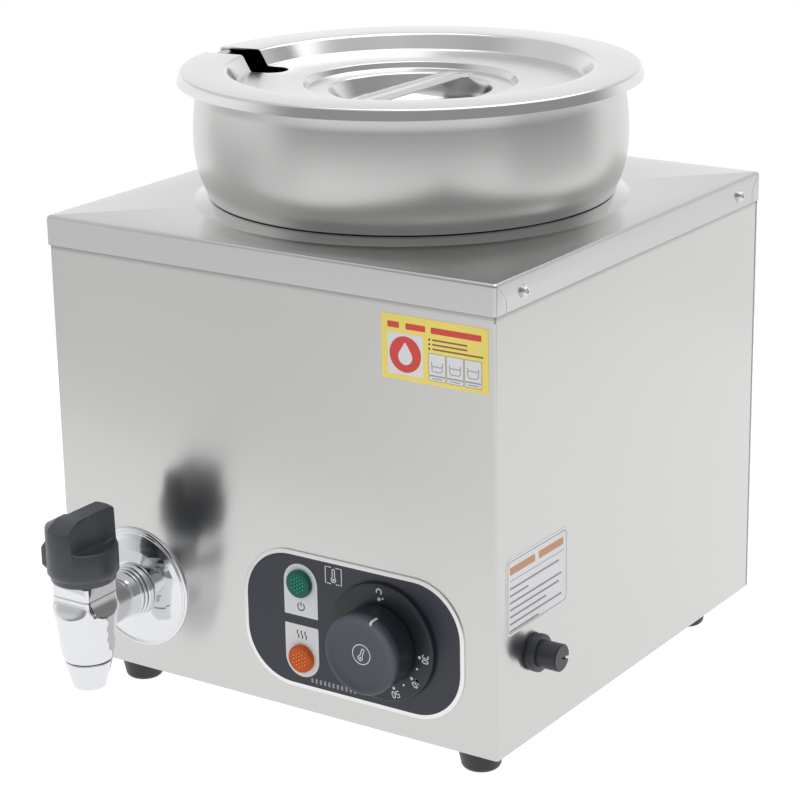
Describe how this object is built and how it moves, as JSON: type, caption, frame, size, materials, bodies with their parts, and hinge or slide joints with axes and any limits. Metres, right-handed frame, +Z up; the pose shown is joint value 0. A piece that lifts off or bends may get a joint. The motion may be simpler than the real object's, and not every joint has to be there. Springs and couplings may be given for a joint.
{
  "type": "soup kettle",
  "caption": "Counter-top soup kettle: square stainless water bath on rubber feet, round lift-out pot with notched lid, drain tap and dial control panel.",
  "frame": {"origin": "middle of the overall box, on the plane the feet stand on", "axes": "+Z up; -Y is the front, with the tap and the control plate; +X is the side with the reset button"},
  "size_m": [0.2978, 0.3605, 0.332],
  "materials": {
    "stainless_brushed": "brushed stainless sheet",
    "stainless_plain": "plain mill-finish stainless",
    "stainless_pot": "spun stainless with a satin polish",
    "stainless_polished": "mirror-polished stainless",
    "tap_chrome": "bright chrome plate",
    "plated_steel": "zinc-plated steel",
    "brass": "turned brass",
    "heater_sheath": "heat-darkened sheath",
    "copper_tube": "drawn copper",
    "black_plastic": "satin black moulding",
    "plate_grey": "dark grey printed face with a bright edge",
    "pale_plastic": "pale heat-resistant moulding",
    "red_plastic": "red moulding",
    "green_lens": "clear green lens",
    "amber_lens": "clear amber lens",
    "foot_rubber": "matt black rubber",
    "hose_rubber": "silicone rubber",
    "wire_sleeve": "silicone wire sleeve",
    "yellow_label": "yellow film sticker",
    "white_label": "white film sticker with a thin coloured border"
  },
  "bodies": {
    "cabinet": {"body_shell": "stainless_brushed", "rear_panel": "stainless_brushed", "base_plate": "stainless_brushed", "rubber_feet": "foot_rubber", "foot_screws": "plated_steel", "foot_nuts": "plated_steel", "top_tray": "stainless_brushed", "tray_screws": "plated_steel", "rear_screws": "plated_steel", "water_tank": "stainless_plain", "heating_element": "heater_sheath", "element_nuts": "plated_steel", "drain_hose": "hose_rubber", "hose_clips": "plated_steel", "tap_rosette": "tap_chrome", "tap_washer": "foot_rubber", "tap_locknut": "brass", "tap_body": "tap_chrome", "tap_bonnet": "tap_chrome", "tap_nozzle": "tap_chrome", "control_plate": "plate_grey", "dial_bezel": "black_plastic", "thermostat": "pale_plastic", "thermostat_screws": "plated_steel", "sensor_bulb": "copper_tube", "power_lamp": "green_lens", "heat_lamp": "amber_lens", "lamp_nuts": "pale_plastic", "reset_switch": "black_plastic", "reset_nut": "black_plastic", "limit_bulb": "copper_tube", "cable_gland": "black_plastic", "gland_nut": "black_plastic", "terminal_block": "pale_plastic", "earth_stud": "brass", "wiring": "wire_sleeve", "warning_label": "yellow_label", "reset_label": "white_label"},
    "pot": {"pot": "stainless_pot"},
    "lid": {"lid": "stainless_polished", "lid_handle": "stainless_polished"},
    "dial": {"dial_knob": "black_plastic", "thermostat_shaft": "plated_steel"},
    "tap_handle": {"tap_knob": "black_plastic", "tap_spindle": "brass"},
    "reset_button": {"reset_pin": "red_plastic"},
    "reset_cover": {"reset_cap": "black_plastic"}
  },
  "joints": [
    {"name": "pot_lift", "type": "slide", "parent": "cabinet", "child": "pot", "axis": [0, 0, 1], "range_m": [0, 0.24]},
    {"name": "lid_lift", "type": "slide", "parent": "pot", "child": "lid", "axis": [0, 0, 1], "range_m": [0, 0.08]},
    {"name": "dial_turn", "type": "hinge", "parent": "cabinet", "child": "dial", "pos_m": [0.06542, -0.11775, 0.0649], "axis": [0, 1, 0], "range_deg": [-20, 254]},
    {"name": "tap_turn", "type": "hinge", "parent": "cabinet", "child": "tap_handle", "pos_m": [-0.09557, -0.16125, 0.074], "axis": [0, 0, 1], "range_deg": [0, 90]},
    {"name": "reset_press", "type": "slide", "parent": "cabinet", "child": "reset_button", "axis": [-1, 0, 0], "range_m": [0, 0.002], "stiffness_N_per_m": 800},
    {"name": "reset_cover_off", "type": "slide", "parent": "cabinet", "child": "reset_cover", "axis": [1, 0, 0], "range_m": [0, 0.025]}
  ]
}
